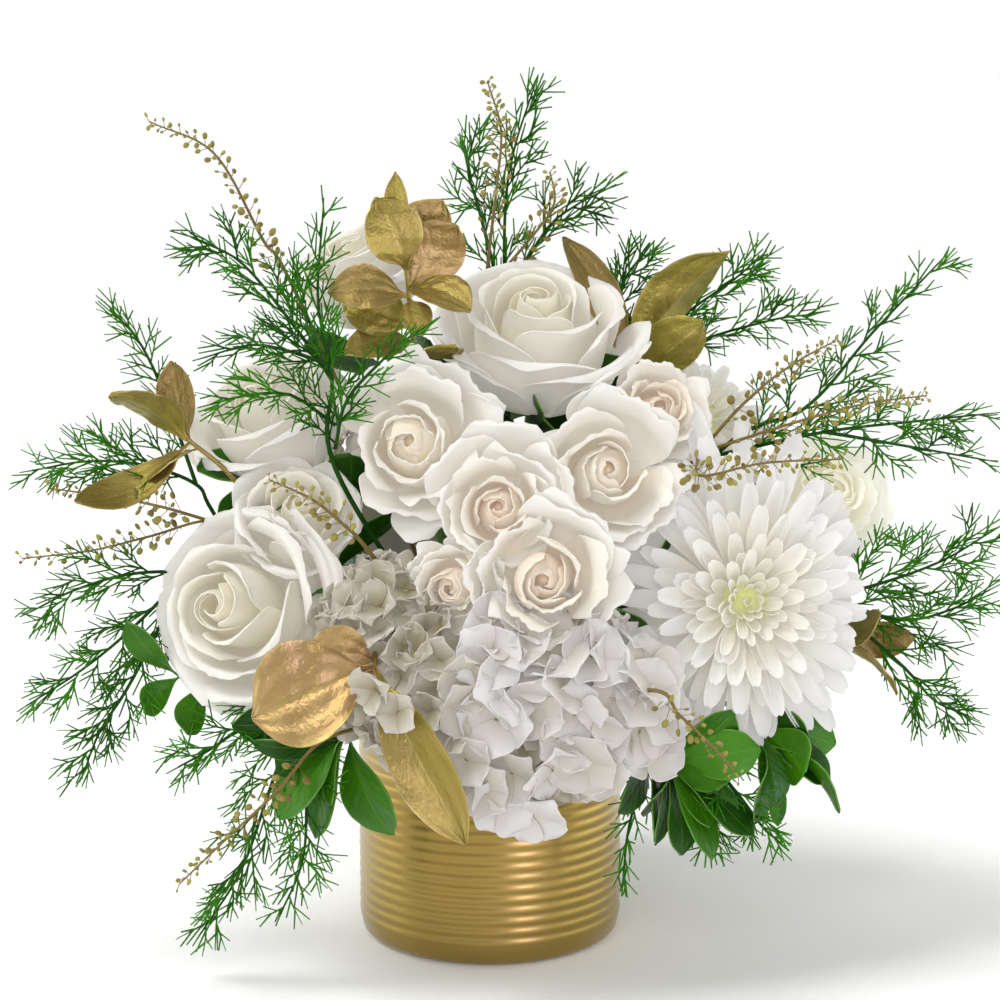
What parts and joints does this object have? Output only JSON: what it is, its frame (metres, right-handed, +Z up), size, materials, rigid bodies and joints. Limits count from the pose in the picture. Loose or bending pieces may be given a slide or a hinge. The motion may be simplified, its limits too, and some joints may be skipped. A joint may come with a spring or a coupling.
{
  "type": "floral centerpiece",
  "caption": "Low table centerpiece: white roses, hydrangea and mums with fern, seed sprays and gold-painted leaves in a ribbed gold vase.",
  "frame": {"origin": "centre of the vase's flat underside", "axes": "+Z up, -Y towards the arrangement's front, +X to the right seen from the front"},
  "size_m": [0.4431, 0.2717, 0.3876],
  "materials": {
    "vase_metal": "satin gold-tone metal, fine horizontal ribs",
    "foam": "dark green water-holding foam",
    "rose_petal": "soft white to cream petal",
    "spray_petal": "ivory petal with a blush or peach heart",
    "mum_petal": "white petal, cream and green at the eye",
    "hydrangea_floret": "white floret with a green tint",
    "flower_stem": "smooth green stalk",
    "gold_leaf": "leaf painted a satin metallic gold",
    "green_leaf": "glossy dark green leaf",
    "fern": "fine green fern",
    "seed": "dry gold-brown seed spray"
  },
  "bodies": {
    "root": {"vase": "vase_metal", "foam": "foam", "rose_front_left": "rose_petal", "rose_front_left_stem": "flower_stem", "rose_left_inner": "rose_petal", "rose_left_inner_stem": "flower_stem", "rose_top": "rose_petal", "rose_top_stem": "flower_stem", "rose_left": "rose_petal", "rose_left_stem": "flower_stem", "rose_back_left": "rose_petal", "rose_back_left_stem": "flower_stem", "rose_back": "rose_petal", "rose_back_stem": "flower_stem", "spray_rose_1": "spray_petal", "spray_rose_2": "spray_petal", "spray_rose_3": "spray_petal", "spray_rose_4": "spray_petal", "spray_rose_5": "spray_petal", "spray_rose_6": "spray_petal", "spray_rose_7": "spray_petal", "spray_stem_left": "flower_stem", "spray_stem_right": "flower_stem", "spray_stem_centre": "flower_stem", "spray_stem_far_right": "flower_stem", "mum_front": "mum_petal", "mum_front_stem": "flower_stem", "mum_back": "mum_petal", "mum_back_stem": "flower_stem", "hydrangea_front": "hydrangea_floret", "hydrangea_front_stem": "flower_stem", "hydrangea_back": "hydrangea_floret", "hydrangea_back_stem": "flower_stem", "gold_top_left": "gold_leaf", "gold_top_right": "gold_leaf", "gold_left": "gold_leaf", "gold_front": "gold_leaf", "gold_right": "gold_leaf", "green_front_left": "green_leaf", "green_left": "green_leaf", "green_right_low": "green_leaf", "green_bottom_right": "green_leaf", "green_back": "green_leaf", "fern_upper_left": "fern", "fern_left": "fern", "fern_left_low": "fern", "fern_low_left": "fern", "fern_top": "fern", "fern_top_right": "fern", "fern_right": "fern", "fern_right_low": "fern", "fern_bottom_right": "fern", "fern_back": "fern", "seed_upper_left": "seed", "seed_top": "seed", "seed_right": "seed", "seed_left": "seed", "seed_left_center": "seed", "seed_low_left": "seed", "seed_right_low": "seed"}
  },
  "joints": []
}
